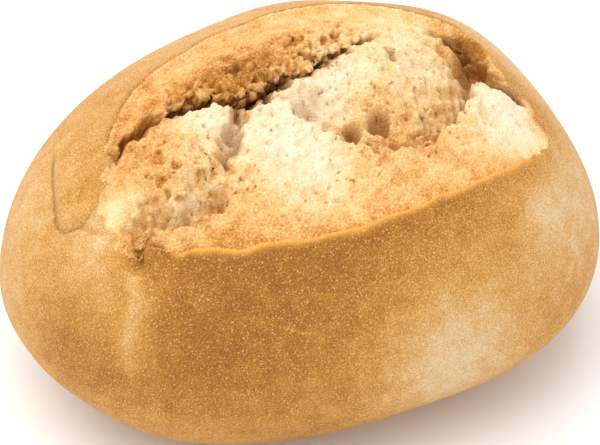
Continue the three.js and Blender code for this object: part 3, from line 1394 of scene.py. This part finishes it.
        # Painted shade on the crevices' walls, partly their own browning.
        crevices = self.split.crevices
        edges = layout.wall_shade_edges
        wall_shade_and_browning = np.max([c.wall_shade_and_browning * ease(*edges, c.opening(plan)) for c in crevices], axis=0)
        hollow = np.maximum(hollow, torn * wall_shade_and_browning)
        bake = layout.bake_level + sum(tint.spread(points) for tint in layout.bake_tints)
        # Darker crust below the front lip: partly its own browning, partly painted shade.
        bake += layout.front_bake_and_shade * np.exp(np.minimum(inside, 0) / layout.front_reach) * forward
        bake += sum(crease.bake * crease.share(points) for crease in self.creases)
        near_rim = np.exp(-((inside / self.lip_width) ** 2))
        # A painted shadow along the step under the back rim.
        bake += layout.back_rim_shadow * near_rim * ease(*layout.back_edges, y)
        # A painted highlight along the front lip, partly the crust edge's own orange.
        lip = near_rim * forward * ease(*layout.lip_left, x) * ease(*layout.lip_right, x)
        return {
            # Painted shade turns the crumb's pits golden.
            Mask.TOAST_AND_PIT_SHADE: toast + layout.pit_shade * cavity,
            Mask.SHADE_AND_BROWNING: hollow,
            Mask.BAKE_AND_SHADE: bake,
            Mask.LIP_TONE_AND_HIGHLIGHT: lip,
            Mask.TORN: torn,
        }

    def build(self) -> bpy.types.Object:
        """Makes the roll, dresses it and sets it in the frame's place.

        Returns:
            The roll.
        """
        surface = self.shape()
        roll = surface.piece("roll")
        roll.data.materials.append(self.crust.build())
        roll.data.materials.append(self.crumb.build())
        torn = surface.masks[Mask.TORN][surface.faces].mean(1) > 0.5
        roll.data.polygons.foreach_set("material_index", torn.astype(np.int32))
        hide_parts(self.node)
        return roll


@dataclass
class Studio:
    """A pale floor, soft lamps and the camera at the photograph's angle."""

    azimuth: float = -26.8
    elevation: float = 41.06
    distance: float = 550.0
    lens: float = 185.28
    sensor: float = 36.0
    aim: Place = (-0.82, -2.92, 26.61)
    floor_size: float = 8000.0
    sky_strength: float = 0.98
    key_power: float = 8.5
    key_size: float = 1300.0
    key_from: Place = (-250.0, 150.0, 1000.0)

    def build_floor(self) -> bpy.types.Object:
        """Lays the floor under the roll.

        Returns:
            The floor.
        """
        half = self.floor_size * MM / 2
        mesh = bpy.data.meshes.new("floor")
        corners = [(-half, -half, 0), (half, -half, 0), (half, half, 0), (-half, half, 0)]
        mesh.from_pydata(corners, [], [(0, 1, 2, 3)])
        mesh.materials.append(FloorFinish().build())
        floor = bpy.data.objects.new("floor", mesh)
        bpy.context.scene.collection.objects.link(floor)
        return floor

    def build_lights(self) -> None:
        """Sets the sky and hangs the key lamp."""
        world = bpy.data.worlds.new("studio")
        world.use_nodes = True
        sky = world.node_tree.nodes["Background"]
        sky.inputs["Color"].default_value = (1.0, 1.0, 1.0, 1.0)
        sky.inputs["Strength"].default_value = self.sky_strength
        bpy.context.scene.world = world
        lamp = bpy.data.lights.new("key", "AREA")
        lamp.energy = self.key_power
        lamp.size = self.key_size * MM
        key = bpy.data.objects.new("key", lamp)
        key.location = Vector(self.key_from) * MM
        key.rotation_euler = (-Vector(self.key_from)).to_track_quat("-Z", "Y").to_euler()
        bpy.context.scene.collection.objects.link(key)

    def build_camera(self) -> None:
        """Sets the camera and makes it the scene's own."""
        turn, lift = math.radians(self.azimuth), math.radians(self.elevation)
        back = Vector((math.sin(turn) * math.cos(lift), -math.cos(turn) * math.cos(lift), math.sin(lift)))
        data = bpy.data.cameras.new("camera")
        data.sensor_fit = "HORIZONTAL"
        data.sensor_width = self.sensor
        data.lens = self.lens
        camera = bpy.data.objects.new("camera", data)
        camera.location = (Vector(self.aim) + back * self.distance) * MM
        camera.rotation_euler = (-back).to_track_quat("-Z", "Y").to_euler()
        bpy.context.scene.collection.objects.link(camera)
        bpy.context.scene.camera = camera
        bpy.context.scene.view_settings.view_transform = "Standard"


def main() -> None:
    """Builds the roll and its studio, and logs the roll's triangle count and the floor."""
    logging.basicConfig(level=logging.INFO, format="%(name)s: %(message)s")
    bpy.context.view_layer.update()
    roll = BreadRoll().build()
    log.info("%s has %d triangles", roll.name, len(roll.data.polygons))
    studio = Studio()
    floor = studio.build_floor()
    log.info("%s laid", floor.name)
    studio.build_lights()
    studio.build_camera()


if __name__ == "__main__":
    main()
